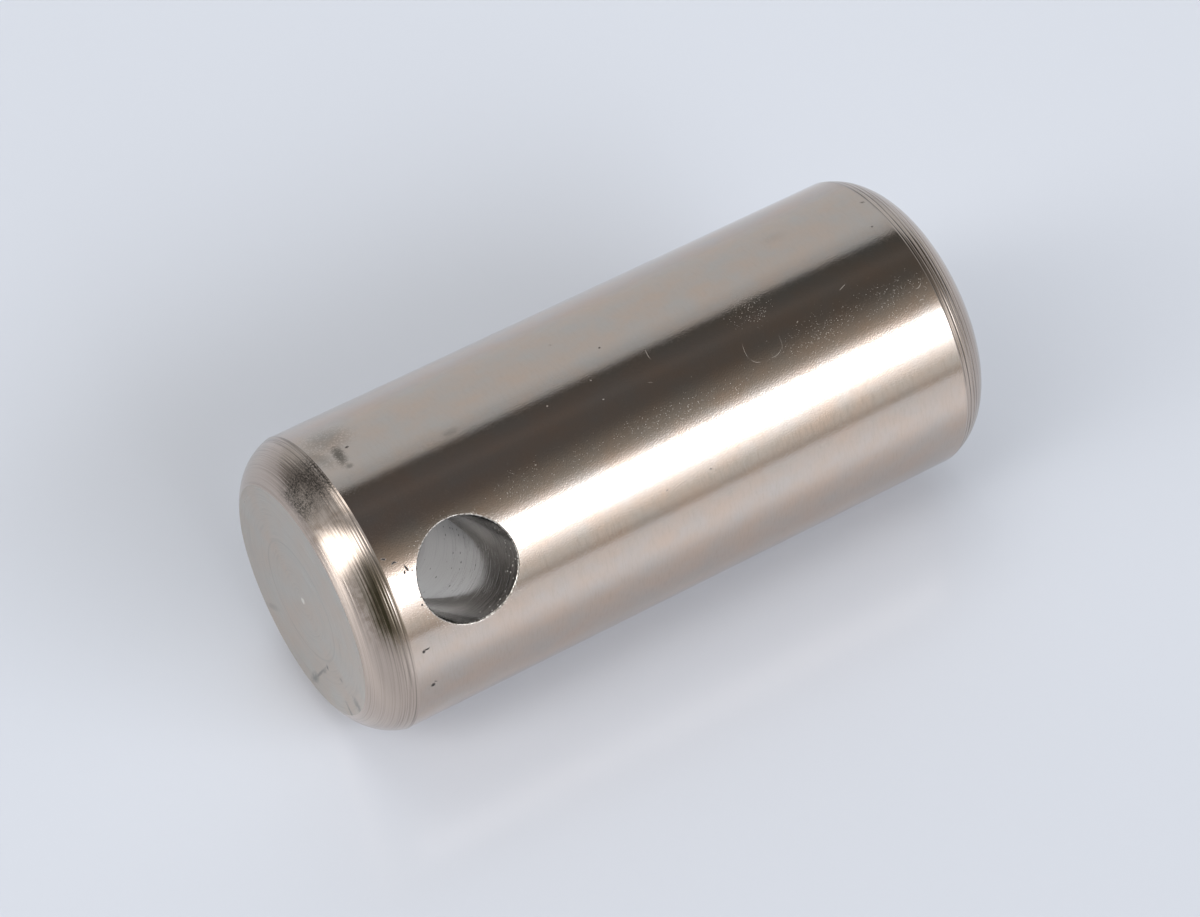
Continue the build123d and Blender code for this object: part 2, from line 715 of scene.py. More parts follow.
HAIRS = (
    Mark((38.6, 2.2), (1.2, 0.07), 97, sag=-0.08, ragged=0.7, strength=0.8),
    Mark((47.5, 6.3), (1.6, 0.07), 97, sag=-0.1, ragged=0.8, strength=0.55),
    Mark((48.0, 7.75), (1.1, 0.08), 35, sag=-0.15, ragged=0.7, strength=0.6),
    Mark((50.4, 8.0), (1.5, 0.08), -15, sag=-0.2, ragged=0.8, strength=0.6),
    Mark((51.4, 7.1), (1.5, 0.07), 105, sag=0.1, ragged=0.8, strength=0.35),
    Mark((60.17, 4.65), (0.9, 0.1), -20, ragged=1.2, strength=0.7),
    Mark((67.46, 8.0), (0.9, 0.1), -25, sag=-0.15, strength=0.8),
    Mark((67.05, 9.25), (0.7, 0.09), 10, sag=0.2, strength=0.6),
    Mark((37.2, 5.0), (0.5, 0.08), 30, strength=0.4),
    Mark((32.1, 4.5), (0.22, 0.14), strength=0.9),
    Mark((32.1, 2.1), (0.2, 0.12), 40, strength=0.7),
    Mark((26.8, 2.6), (0.2, 0.16), strength=0.9),
    Mark((22.6, 7.5), (0.18, 0.14), strength=0.8),
    Mark((54.0, 5.9), (0.3, 0.1), -30, strength=0.8),
)
# Patches on the dark band of the side's reflection, thickest next to the bright band, where fine pale specks
# crowd: partly dust, partly painted glints for the sparkle there
GLINT_AND_DUST_PATCHES = (
    Mark((50.6, 2.9), (5.4, 3.6), soft=0.9, strength=0.95),
    Mark((56.0, 7.8), (14.0, 4.4), -4, ragged=0.3, soft=0.9, strength=0.9),
    Mark((36.0, 8.8), (30.0, 3.0), 1, ragged=0.4, soft=0.9, strength=0.85),
    Mark((64.0, 8.0), (11.0, 5.0), ragged=0.5, soft=0.9, strength=0.85),
    Mark((20.0, 8.6), (12.0, 3.4), ragged=0.7, soft=0.9, strength=0.65),
)
FACE_SMEARS = (
    Mark((3.0, -8.6), (0.3, 5.8), -28, ragged=3.2, soft=0.7, strength=0.55),
    Mark((1.9, -10.5), (0.9, 2.4), -28, ragged=4.0, soft=0.8, strength=0.55),
    Mark((4.0, -7.0), (0.45, 1.7), -32, ragged=4.0, soft=0.8, strength=0.4),
    Mark((4.7, -5.6), (0.45, 0.6), ragged=3.0, soft=0.6, strength=0.75),
    Mark((10.6, -5.0), (1.6, 1.2), -35, ragged=4.0, soft=0.7, strength=0.45),
    Mark((9.2, -8.0), (2.2, 0.5), -40, ragged=4.0, soft=0.7, strength=0.5),
    Mark((7.5, -4.5), (0.6, 0.45), ragged=2.0, soft=0.6, strength=0.4),
    Mark((-6.5, -8.2), (3.0, 0.7), 38, ragged=4.0, soft=0.8, strength=0.25),
)


@dataclass(frozen=True)
class Cloud:
    """A cloudy pattern: 0 where its noise is at low or less, and 1 where it is at high or more.

    The size is how long its clouds are in mm, in every direction or along, across and up. The detail is
    how many finer layers lie on it.
    """

    size: float | Triple
    low: float = 0.0
    high: float = 1.0
    detail: float = 2.0


@dataclass(frozen=True)
class Specks:
    """Scattered round specks of many sizes, in mm.

    A cell is how far apart the places lie where a speck can be, the radius is the largest speck's, and
    the soft edge is counted in radii.
    """

    cell: float
    radius: float
    soft: float = 0.3


@dataclass(frozen=True)
class Coat:
    """What a pattern does to the surface where it is 1.

    It lays on a tint that hides what is below it by the share, adds roughness, and stands out by the
    height in mm.
    """

    tint: str | None = None
    share: float = 1.0
    roughness: float = 0.0
    height: float | NodeSocket = 0.0


class Surface:
    """The node tree of one finish, laid out in millimetres in a frame that follows how it was made.

    Attributes:
        material: the material.
        place: along an axis of revolution, across it and up from it.
        along, across, up: the three parts of the place.
    """

    def __init__(self, name: str, home: Matrix) -> None:
        """Starts a material.

        Args:
            name: the material's name.
            home: takes a point of the finish's frame to the row frame, in metres.
        """
        self.material = bpy.data.materials.new(name)
        self.material.use_nodes = True
        self.tree = self.material.node_tree
        self.node = partial(add_node, self.tree)
        inward = home.inverted()
        self.place = self.node("Mapping", self.node("TexCoord", out="Object"), inputs={
            "Location": inward.to_translation() / MM, "Rotation": inward.to_euler(), "Scale": (1 / MM,) * 3})
        self.along, self.across, self.up = self.node("SeparateXYZ", self.place).node.outputs

    @cached_property
    def toward(self) -> NodeSocket:
        """How far a point lies from the axis towards the camera."""
        return self.node("Math:MULTIPLY", self.across, -1.0)

    @cached_property
    def angle(self) -> NodeSocket:
        """The way round from the top towards the camera, in radians."""
        return self.node("Math:ARCTAN2", self.toward, self.up)

    @cached_property
    def spread(self) -> NodeSocket:
        """Distance from the axis."""
        off_axis = self.node("VectorMath:MULTIPLY", self.place, (0, 1, 1))
        return self.node("VectorMath:LENGTH", off_axis, out="Value")

    def ringed(self, position: NodeSocket) -> NodeSocket:
        """A place whose first part is another position, so that a pattern can run round the axis in rings."""
        return self.node("CombineXYZ", position, self.across, self.up)

    def cloud(self, cloud: Cloud, place: NodeSocket | None = None) -> NodeSocket:
        """Draws a cloudy pattern.

        Args:
            cloud: the pattern.
            place: where it is read, or None for the finish's own place.

        Returns:
            The pattern, from 0 to 1.
        """
        finer = tuple(1 / np.broadcast_to(cloud.size, 3))
        scaled = self.node("VectorMath:MULTIPLY", place or self.place, finer)
        noise = self.node("TexNoise", scaled, inputs={"Scale": 1.0, "Detail": cloud.detail})
        return self.node("MapRange", noise, cloud.low, cloud.high, 0.0, 1.0)

    def specks(self, specks: Specks, empty: float | NodeSocket) -> NodeSocket:
        """Scatters specks.

        Args:
            specks: their sizes.
            empty: share of the places for them that stay empty.

        Returns:
            1 inside a speck and 0 outside.
        """
        scaled = self.node("VectorMath:MULTIPLY", self.place, (1 / specks.cell,) * 3)
        cells = self.node("TexVoronoi", scaled, inputs={"Scale": 1.0}).node.outputs
        chance = self.node("SeparateColor", cells["Color"])
        reach = self.node("Math:SQRT", self.node("Math:SUBTRACT", chance, empty, use_clamp=True))
        away = self.node("Math:MULTIPLY", cells["Distance"], -1.0)
        share = specks.radius / specks.cell
        inside = self.node("Math:MULTIPLY_ADD", reach, share, away)
        return self.node("Math:MULTIPLY", inside, 1 / share / specks.soft, use_clamp=True)

    def marks(self, marks: tuple[Mark, ...], chart: NodeSocket, fray: NodeSocket) -> NodeSocket:
        """Draws marks on the surface.

        Args:
            marks: the marks.
            chart: place on the surface, laid out flat.
            fray: pattern that eats into the outlines where it is above 0.

        Returns:
            0 outside the marks, and up to each one's strength inside.
        """
        shown = None
        for mark in marks:
            half_length, half_width = (size / 2 for size in mark.size)
            local = self.node("Mapping", chart, vector_type="TEXTURE", inputs={
                "Location": (*mark.at, 0), "Rotation": (0, 0, math.radians(mark.turn)),
                "Scale": (half_length, half_width, 1)})
            if mark.sag:
                x, y, _ = self.node("SeparateXYZ", local).node.outputs
                square = self.node("Math:MULTIPLY", x, x)
                bent = self.node("Math:MULTIPLY_ADD", square, -mark.sag / half_width, y)
                local = self.node("CombineXYZ", x, bent)
            reach = self.node("VectorMath:LENGTH", local, out="Value")
            reach = self.node("Math:MULTIPLY_ADD", fray, mark.ragged, reach)
            cover = self.node("MapRange", reach, 1 + mark.soft, 1 - mark.soft, 0.0, mark.strength,
                              interpolation_type="SMOOTHSTEP")
            shown = self.node("Math:MAXIMUM", shown, cover) if shown else cover
        return shown

    def dress(self, colour: str, roughness: float, coats: list[tuple[NodeSocket, Coat]],
              dirt_and_glints: NodeSocket | None = None) -> Material:
        """Gives the material its looks.

        Args:
            colour: the steel's own colour.
            roughness: the steel's own roughness.
            coats: each pattern and what it does, from the bottom up.
            dirt_and_glints: 1 where the steel is hidden, or None if it is bare all over.

        Returns:
            The finished material.
        """
        shown, rough, relief = linear(colour), roughness, 0.0
        for cover, coat in coats:
            if coat.roughness:
                rough = self.node("Math:MULTIPLY_ADD", cover, coat.roughness, rough)
            if coat.height:
                relief = self.node("Math:MULTIPLY_ADD", cover, coat.height, relief)
            if coat.tint:
                share = self.node("Math:MULTIPLY", cover, coat.share) if coat.share < 1 else cover
                shown = self.node("Mix", share, data_type="RGBA", out="Result", inputs={
                    "A": shown, "B": linear(coat.tint)})
        shader = self.tree.nodes["Principled BSDF"]
        metallic = self.node("Math:SUBTRACT", 1.0, dirt_and_glints) if dirt_and_glints else 1.0
        normal = self.node("Bump", inputs={"Strength": 1.0, "Distance": MM, "Height": relief})
        for name, value in (("Base Color", shown), ("Roughness", rough), ("Metallic", metallic),
                            ("Normal", normal)):
            if isinstance(value, NodeSocket):
                self.tree.links.new(value, shader.inputs[name])
            else:
                shader.inputs[name].default_value = value
        return self.material


@dataclass(frozen=True)
class Finish:
    """A finish of the pin. Its lengths are in mm, unless its own text says otherwise.

    Grit, emery and a reamer leave lines a few hundredths of a millimetre wide, which the picture can't
    show. The finest patterns are drawn as coarse as they need to show, 0.1 mm or more.
    """

    lying: Lying

    @property
    def sizes(self) -> PinSizes:
        """The pin's sizes, in metres."""
        return self.lying.sizes


@dataclass(frozen=True)
class GroundSteel(Finish):
    """Hardened steel, ground round and polished nearly to a mirror.

    The eye gets sharp reflections whose edges fray into short streaks and sparkle, a faint cloudiness from
    handling, scuffs round the mouths of the hole, the spots and hairs that the pin has picked up, and pale
    specks that are partly dust and partly painted glints, crowded in patches on the dark band of the
    reflection, thickest next to the bright band.
    The streaks, pores, lines and grit are drawn coarser than the wheel left them.

    The streaks show their worn colour by the first share in wear up to the first angle in wear_from, and
    by the second from the second angle on, in radians. Scuffs and nicks reach past the hole's wall by the
    first number of their pair, and the second is how softly they end. Of the places for specks the share
    empty stays bare, less by patchiness where the steel is sticky, and less again in the patches of dust
    and painted glints.
    """

    name: str = "ground_polished_steel"
    colour: str = "#bfac9d"
    roughness: float = 0.045
    film: Cloud = Cloud((4.0, 3.0, 3.0), 0.32, 0.68, 4.0)
    film_coat: Coat = Coat("#b8aea5")
    streak: Cloud = Cloud((0.16, 1.3, 1.3), 0.48, 0.7)
    streak_coat: Coat = Coat(roughness=0.035)
    wear_coat: Coat = Coat("#a2968a")
    wear: Pair = (0.08, 0.24)
    wear_from: Pair = (0.35, 0.8)
    pore: Cloud = Cloud((0.13, 0.2, 0.2), 0.56, 0.7, 1.0)
    pore_coat: Coat = Coat(roughness=0.09)
    fray: Cloud = Cloud(0.22, 0.5, 1.5, 3.0)
    smear_coat: Coat = Coat("#635c53", roughness=0.25)
    scuff: Cloud = Cloud(0.14, 0.5, 0.62)
    scuff_reach: Pair = (0.3, 0.3)
    nick: Cloud = Cloud(0.13, 0.64, 0.72)
    nick_reach: Pair = (1.2, 0.9)
    scuff_coat: Coat = Coat("#d6cec4", 0.6, roughness=0.3)
    hair_coat: Coat = Coat("#8f8779")
    hair_share: float = 0.6
    sticky: Cloud = Cloud((9.0, 7.0, 7.0), 0.42, 0.66)
    # Pale specks: the crumbs are dust; the fine powder, crowded in the patches, is partly dust and partly
    # painted glints
    crumbs: Specks = Specks(0.75, 0.36)
    powder_and_glints: Specks = Specks(0.15, 0.075)
    heap: Cloud = Cloud(0.35, 0.3, 0.58)
    empty: float = 0.965
    patchiness: float = 0.04
    glint_and_dust_fill: float = 0.88
    dust_and_glint_coat: Coat = Coat("#b9b2a6")
    dust_and_glint_share: float = 0.5
    spot_coat: Coat = Coat("#2b2521")
    dirt_and_glint_coat: Coat = Coat(roughness=0.6)
    line: Cloud = Cloud((0.13, 3.5, 3.5))
    line_coat: Coat = Coat(height=0.0012)
    wave: Cloud = Cloud(1.6)
    wave_coat: Coat = Coat(height=0.004)
    grit: Cloud = Cloud((0.11, 0.14, 0.14))
    grit_coat: Coat = Coat(height=0.008)

    def build(self) -> Material:
        """Makes the material.

        Returns:
            The finished material.
        """
        sizes = self.sizes
        s = Surface(self.name, self.lying.home)
        node = s.node
        chart = node("CombineXYZ", s.along, node("Math:MULTIPLY", s.angle, sizes.radius / MM))
        fray, sticky, streaks = (s.cloud(c) for c in (self.fray, self.sticky, self.streak))
        smears, spots, hairs = (s.marks(m, chart, fray) for m in (SMEARS, SPOTS, HAIRS))
        hairs = node("Math:MULTIPLY", hairs, self.hair_share)
        worn = node("Math:MULTIPLY", streaks, node("MapRange", s.angle, *self.wear_from, *self.wear))

        # Scuffs stand round each mouth, counted from the axis of the hole
        turn = math.radians(self.lying.roll_deg)
        beside = node("VectorMath:DOT_PRODUCT", s.place, (0, math.cos(turn), math.sin(turn)), out="Value")
        ahead = node("Math:SUBTRACT", s.along, (sizes.length - sizes.hole_height) / MM)
        off_hole = node("VectorMath:LENGTH", node("CombineXYZ", ahead, beside), out="Value")
        wall = sizes.hole_radius / MM
        scuffs = node("Math:MAXIMUM", *(
            node("Math:MULTIPLY", window(s.tree, off_hole, (0.0, wall + reach), soft), s.cloud(cloud))
            for cloud, (reach, soft) in ((self.scuff, self.scuff_reach), (self.nick, self.nick_reach))))

        # Pale specks that are not metal: dust all over, and in the patches fine specks that are partly dust
        # and partly painted glints
        thin = node("Math:MULTIPLY_ADD", sticky, -self.patchiness, self.empty)
        thick = node("Math:MULTIPLY_ADD", s.marks(GLINT_AND_DUST_PATCHES, chart, sticky), -self.glint_and_dust_fill, thin)
        powder_and_glints = node("Math:MULTIPLY", s.specks(self.powder_and_glints, thick), s.cloud(self.heap))
        dust_and_glints = node("Math:MAXIMUM", s.specks(self.crumbs, thin), powder_and_glints)
        dust_and_glints = node("Math:MULTIPLY", dust_and_glints, self.dust_and_glint_share)
        dirt_and_glints = node("Math:MAXIMUM", node("Math:MAXIMUM", dust_and_glints, hairs), spots)
        return s.dress(self.colour, self.roughness, [
            (s.cloud(self.film), self.film_coat), (streaks, self.streak_coat),
            (s.cloud(self.pore), self.pore_coat), (worn, self.wear_coat), (smears, self.smear_coat),
            (scuffs, self.scuff_coat), (hairs, self.hair_coat), (dust_and_glints, self.dust_and_glint_coat),
            (spots, self.spot_coat), (dirt_and_glints, self.dirt_and_glint_coat), (s.cloud(self.line), self.line_coat),
            (s.cloud(self.wave), self.wave_coat), (s.cloud(self.grit), self.grit_coat)], dirt_and_glints)


# Dark fill of the rings, grooves and grainy patch: partly grime, partly painted shade
GRIME_AND_SHADE = "#3d3a34"


@dataclass(frozen=True)
class Sector:
    """A stretch of the near end's rounding.

    The span is its angles in degrees, counted from the top towards the camera, and the reach its
    distances from the face in mm. Each has its own soft edge.
    """

    span: Pair
    span_soft: float
    reach: Pair
    reach_soft: float = 0.6


@dataclass(frozen=True)
class TurnedSteel(Finish):
    """Steel rounded on the lathe by a hand-fed tool and dulled with emery.

    The eye gets blurred reflections drawn out into bright and dark rings, a grainy patch where the tool
    chattered, grime and painted shade in the grooves, brown stains, and an olive patch on the end with the
    hole. Where the end mirrors dark parts of the room, the grainy patch is painted darker and the olive
    patch is a painted reflection. The lines are drawn coarser than the emery left them.

    Grime and painted shade fill the rings by the first share in fill, and by the second on top near the
    side, where the side cloud breaks them up. The deep pair is the depths of groove, in metres, at which the
    grime and painted shade in the grooves begin and are whole, but for the gaps. The grain stands out by
    the first height, and by the second on top where the tool chattered.
    """

    name: str = "turned_steel"
    colour: str = "#c2b3a7"
    roughness: float = 0.11
    stains: tuple[tuple[Sector, Cloud, Coat], ...] = (
        (Sector((4, 20), 8, (0.4, 5.6)), Cloud(0.9, 0.4, 0.7), Coat("#84705f", 0.45)),
        (Sector((36, 62), 9, (1.6, 4.6)), Cloud(0.7, 0.4, 0.6), Coat("#84705f", 0.4)),
    )
    # The olive patch is a painted reflection of the dark side of the room by the camera
    olive_reflection: Sector = Sector((35, 64), 9, (2.9, 5.3))
    olive_reflection_coat: Coat = Coat("#58553a", 0.85)
    ring: Cloud = Cloud((0.1, 16.0, 16.0), 0.52, 0.66)
    ring_coat: Coat = Coat(GRIME_AND_SHADE)
    fill: Pair = (0.24, 0.32)
    side_reach: Pair = (3.7, 7.0)
    side_soft: float = 0.7
    side: Cloud = Cloud((1.5, 5.0, 5.0), 0.3, 0.6)
    gap: Cloud = Cloud((0.4, 5.0, 5.0), 0.3, 0.62)
    deep: Pair = (0.01 * MM, 0.032 * MM)
    deep_coat: Coat = Coat(GRIME_AND_SHADE, 0.7)
    # The grainy patch, painted darker where the end mirrors a dark part of the room
    chatter: Sector = Sector((-16, 4), 6, (0.8, 6.5))
    blotch: Cloud = Cloud((1.0, 2.5, 2.5), 0.22, 0.5, 4.0)
    chatter_coat: Coat = Coat(GRIME_AND_SHADE, 0.3)
    worm: Cloud = Cloud((0.1, 0.22, 0.22), 0.47, 0.54)
    worm_coat: Coat = Coat(GRIME_AND_SHADE, 0.8)
    line: Cloud = Cloud((0.1, 9.0, 9.0), detail=3.0)
    line_coat: Coat = Coat(roughness=0.12, height=0.0034)
    broad: Cloud = Cloud((0.24, 14.0, 14.0), 0.42, 0.6)
    broad_coat: Coat = Coat(height=0.0034)
    grain: Cloud = Cloud((0.16, 0.25, 0.25), detail=3.0)
    grain_height: Pair = (0.0008, 0.011)

    def build(self) -> Material:
        """Makes the material.

        Returns:
            The finished material.
        """
        sizes = self.sizes
        s = Surface(self.name, self.lying.home)
        node = s.node
        half = sizes.length / MM / 2
        near = node("Math:LESS_THAN", s.along, half)
        off_middle = node("Math:ABSOLUTE", node("Math:SUBTRACT", s.along, half))
        radius, depth = sizes.rounding_centre / MM
        swing = node("Math:ARCTAN2", node("Math:SUBTRACT", half - depth, off_middle),
                     node("Math:SUBTRACT", s.spread, radius))
        arc = node("Math:MULTIPLY", node("Math:ADD", swing, -sizes.rounding_angles[0]), sizes.end_radius / MM)
        angle = node("Math:DEGREES", s.angle)

        def keep(cover: NodeSocket, to: Sector) -> NodeSocket:
            """Keeps a cover to one stretch of the near end's rounding.

            Args:
                cover: the cover.
                to: the stretch.

            Returns:
                The cover there, and 0 elsewhere.
            """
            part = node("Math:MULTIPLY", near, cover)
            for place, span, soft in ((angle, to.span, to.span_soft), (arc, to.reach, to.reach_soft)):
                part = node("Math:MULTIPLY", part, window(s.tree, place, span, soft))
            return part

        ringed = partial(s.cloud, place=s.ringed(arc))
        broad = ringed(self.broad)
        # The grainy patch, painted darker where the end mirrors a dark part of the room
        grainy = keep(ringed(self.blotch), self.chatter)
        plain, chattered = self.grain_height
        grain_height = node("Math:MULTIPLY_ADD", grainy, chattered, plain)
        worms = node("Math:MULTIPLY", ringed(self.worm), grainy)
        by_side = node("Math:MULTIPLY", window(s.tree, arc, self.side_reach, self.side_soft),
                       ringed(self.side))
        # Grime and painted shade in the turns, more near the side
        always, more = self.fill
        filled = node("Math:MULTIPLY", ringed(self.ring), node("Math:MULTIPLY_ADD", by_side, more, always))
        # Grime and painted shade in the deepest grooves, by how deep the lathe cut them
        cut = node("Attribute", attribute_name="groove", out="Fac")
        grooves = node("Math:MULTIPLY", node("MapRange", cut, *self.deep, 0.0, 1.0), ringed(self.gap))
        # The olive patch is a painted reflection; grime and painted shade fill the rings and grooves
        return s.dress(self.colour, self.roughness, [
            *((keep(s.cloud(cloud), where), coat) for where, cloud, coat in self.stains),
            (keep(broad, self.olive_reflection), self.olive_reflection_coat), (filled, self.ring_coat), (grooves, self.deep_coat),
            (grainy, self.chatter_coat), (worms, self.worm_coat), (ringed(self.line), self.line_coat),
            (broad, self.broad_coat), (ringed(self.grain), Coat(height=grain_height))])


@dataclass(frozen=True)
class FacedSteel(Finish):
    """Steel faced off square on the lathe and left satin.

    The eye gets a soft grey sheen with faint arcs from the facing tool, the pip left in the middle, painted
    pale as a highlight, a scuff and a few smears near the rim. The fine arcs are drawn coarser than the tool
    left them.

    The ring pair is the radii between which the tool left a wider groove. The pip pair is its place,
    counted as a mark's is, and its rim the distances from there at which it begins and is whole.
    """

    name: str = "faced_steel"
    colour: str = "#bdb8af"
    roughness: float = 0.24
    film: Cloud = Cloud((5.0, 4.0, 4.0), 0.3, 0.7, 3.0)
    film_coat: Coat = Coat("#c1b3a5")
    arc: Cloud = Cloud((0.16, 3.0, 3.0), 0.5, 0.72)
    arc_coat: Coat = Coat("#8f8c87", 0.2)
    line: Cloud = Cloud((0.3, 6.0, 6.0))
    line_coat: Coat = Coat(height=0.003)
    fine: Cloud = Cloud((0.1, 4.0, 4.0))
    fine_coat: Coat = Coat(roughness=0.12, height=0.0012)
    scuff: Cloud = Cloud((6.0, 0.25, 0.9), 0.5, 0.75, 3.0)
    scuff_coat: Coat = Coat(height=0.002)
    ring: Pair = (6.4, 6.6)
    ring_soft: float = 0.12
    ring_coat: Coat = Coat("#8f8c87", 0.25, height=-0.006)
    fray: Cloud = Cloud(0.4, 0.5, 1.5, 3.0)
    smear_coat: Coat = Coat("#4a4a49")
    pip: Pair = (0.3, 0.35)
    pip_rim: Pair = (0.42, 0.22)
    # The pip stands up from the face and is painted pale: a painted highlight
    pip_and_highlight_coat: Coat = Coat("#f1ece2", 0.8, height=0.09)

    def build(self) -> Material:
        """Makes the material.

        Returns:
            The finished material.
        """
        s = Surface(self.name, self.lying.home)
        node = s.node
        chart = node("CombineXYZ", s.toward, s.up)
        near = node("Math:LESS_THAN", s.along, self.sizes.length / MM / 2)
        smears = node("Math:MULTIPLY", s.marks(FACE_SMEARS, chart, s.cloud(self.fray)), near)
        ringed = partial(s.cloud, place=s.ringed(s.spread))
        ring = window(s.tree, s.spread, self.ring, self.ring_soft)
        away = node("VectorMath:DISTANCE", chart, (*self.pip, 0), out="Value")
        pip = node("MapRange", away, *self.pip_rim, 0.0, 1.0, interpolation_type="SMOOTHSTEP")
        return s.dress(self.colour, self.roughness, [
            (s.cloud(self.film), self.film_coat), (ringed(self.arc), self.arc_coat),
            (ringed(self.line), self.line_coat), (ringed(self.fine), self.fine_coat),
            (s.cloud(self.scuff), self.scuff_coat), (ring, self.ring_coat), (smears, self.smear_coat),
            (pip, self.pip_and_highlight_coat)])


@dataclass(frozen=True)
class DrilledSteel(Finish):
    """The wall of the cross hole, drilled and reamed.

    The eye gets a smooth grey wall with blurred reflections, painted shade that darkens it towards the
    mouths, arcs and scores from the reamer, small black specks, and pale specks near the mouths' edges that
    are painted glints. The scratches and scores are drawn coarser than they are.

    Two pairs are distances from the pin's axis, as shares of its radius: the first is where the painted
    shade on the wall begins and is darkest, and the rim pair is where the painted glints by the edge lie.
    The shade covers by the first of its two shares, and by the second on top in the arcs.
    """

    name: str = "drilled_steel"
    colour: str = "#c8c2ba"
    roughness: float = 0.05
    scratch: Cloud = Cloud((0.2, 4.0, 4.0), 0.54, 0.66, 3.0)
    scratch_coat: Coat = Coat("#463f38", 0.14)
    arc: Cloud = Cloud((0.36, 2.6, 2.6), 0.45, 0.62, 3.0)
    arc_coat: Coat = Coat(height=0.004)
    # Painted shade: the wall is drawn darker towards each mouth
    painted_shade_span: Pair = (0.4, 0.82)
    painted_shade_shares: Pair = (0.6, 0.3)
    painted_shade_coat: Coat = Coat("#463f38")
    black: Specks = Specks(0.6, 0.24)
    black_empty: float = 0.62
    black_coat: Coat = Coat("#35322f")
    # Painted glints: pale specks that are not metal, near the edge of each mouth
    bright: Specks = Specks(0.4, 0.2)
    painted_glint_empty: float = 0.5
    rim: Pair = (0.8, 1.0)
    rim_soft: float = 0.4
    painted_glint_coat: Coat = Coat("#f7f1e8")
    line: Cloud = Cloud((0.4, 7.0, 7.0), detail=3.0)
    line_coat: Coat = Coat(roughness=0.1, height=0.003)
    score: Cloud = Cloud((0.2, 3.0, 3.0), 0.62, 0.7)
    score_coat: Coat = Coat(height=-0.003)

    def build(self) -> Material:
        """Makes the material.

        Returns:
            The finished material.
        """
        s = Surface(self.name, self.sizes.bore)
        node = s.node
        arcs = s.cloud(self.arc)
        off_middle = node("Math:ABSOLUTE", s.along)
        painted_shade_span, rim = ([share * self.sizes.radius / MM for share in pair] for pair in (self.painted_shade_span, self.rim))
        # Painted shade, darker towards each mouth and more so in the reamer's arcs
        mouth = node("MapRange", off_middle, *painted_shade_span, 0.0, 1.0, interpolation_type="SMOOTHSTEP")
        always, more = self.painted_shade_shares
        dark = node("Math:MULTIPLY", mouth, node("Math:MULTIPLY_ADD", arcs, more, always))
        black = s.specks(self.black, self.black_empty)
        # Painted glints: pale specks near the edge of each mouth, not metal
        bright = node("Math:MULTIPLY", s.specks(self.bright, self.painted_glint_empty),
                      window(s.tree, off_middle, rim, self.rim_soft))
        return s.dress(self.colour, self.roughness, [
            (s.cloud(self.scratch), self.scratch_coat), (dark, self.painted_shade_coat), (black, self.black_coat),
            (bright, self.painted_glint_coat), (s.cloud(self.line), self.line_coat),
            (s.cloud(self.score), self.score_coat), (node("Math:MULTIPLY", arcs, mouth), self.arc_coat),
        ], node("Math:MAXIMUM", black, bright))


@dataclass(frozen=True)
class BrokenEdgeSteel(Finish):
    """The edge of each mouth, broken by hand with a scraper.

    The eye gets a thin bright line, ragged where the scraper skipped. The edge is painted paler than the
    steel, a painted highlight for the lamps that it catches.
    """

    name: str = "scraped_edge_steel"
    # Paler than the steel: a painted highlight on the edge
    colour: str = "#ece5dc"
    roughness: float = 0.12
    skip: Cloud = Cloud(0.35, 0.46, 0.6, 3.0)
    skip_coat: Coat = Coat("#a59c93")
    chatter: Cloud = Cloud(0.22, detail=3.0)
    chatter_coat: Coat = Coat(roughness=0.3, height=0.02)

    def build(self) -> Material:
        """Makes the material.

        Returns:
            The finished material.
        """
        s = Surface(self.name, self.sizes.bore)
        return s.dress(self.colour, self.roughness, [
            (s.cloud(self.skip), self.skip_coat), (s.cloud(self.chatter), self.chatter_coat)])


class Light(Enum):
    """The blend type by which a patch of the room hides what is behind it, or shines on top of it."""

    COVER = "MIX"
    ADD = "ADD"


@dataclass(frozen=True)
class Patch:
    """A soft-edged patch of the room, as the pin sees it: a lamp's cloth, a wall or a dark corner.

    The angles are in degrees. Azimuth is counted from behind the camera, towards its right. Across is
    counted to the right, as seen from the pin, and upright upwards, both from where the patch faces. A
    patch that leans has its top turned towards the camera's right.
    """

    name: str
    azimuth: float
    elevation: float
    across: Pair
    upright: Pair
    soft: Pair
    colour: str
    strength: float = 1.0
    light: Light = Light.COVER
    lean: float = 0.0


ROOM = (
    Patch("ceiling", 33, 60, (-75, -9), (-12, 62), (6, 8), "#615f5c"),
    Patch("ceiling overhead", 120, 80, (-20, 20), (-12, 30), (8, 4), "#cfcfff", 0.024, Light.ADD),
    Patch("ceiling joint", 33, 60, (-75, -9), (32, 37.5), (6, 3.0), "#645f5e", 0.22, Light.ADD),
    Patch("ceiling corner", 155, 60, (-9, 9), (-8, 3), (5, 3.5), "#565959"),
    Patch("far wall top", -147, 22, (2, 62), (-60, 42.8), (6, 1.3), "#c3c9cf"),
    Patch("far wall", -147, 22, (2, 62), (-60, 33), (6, 8), "#dce3ea"),
    Patch("far gap", -116, 24, (-13, 13), (-30, 28), (8, 12), "#8b8c8e"),
    Patch("back lamp", -150, 68, (-18, 5), (-8, 14), (4, 5), "#ffffff", 2.2),
    Patch("camera", 5, 25, (-28, 28), (-30, 32), (9, 12), "#77766e"),
    Patch("right spill", 58, 30, (-34, 46), (-28, 23), (14, 17.5), "#fffaf2", 0.52, Light.ADD),
    Patch("right spill near", 58, 30, (-26, 38), (-15.6, 12), (9, 8), "#eef4ff", 1.4, Light.ADD),
    Patch("right lamp", 58, 30, (-18, 30), (-7, 9.3), (5, 3.7), "#eaf3ff", 4.3, Light.ADD),
    Patch("table edge", 58, 0, (-60, 60), (-12, -0.7), (10, 2.0), "#c0bbb7"),
    Patch("left lamp", -57, 26, (-7, 10), (-28, 38), (6, 12), "#ffffff", 4.0, Light.ADD, lean=22),
)


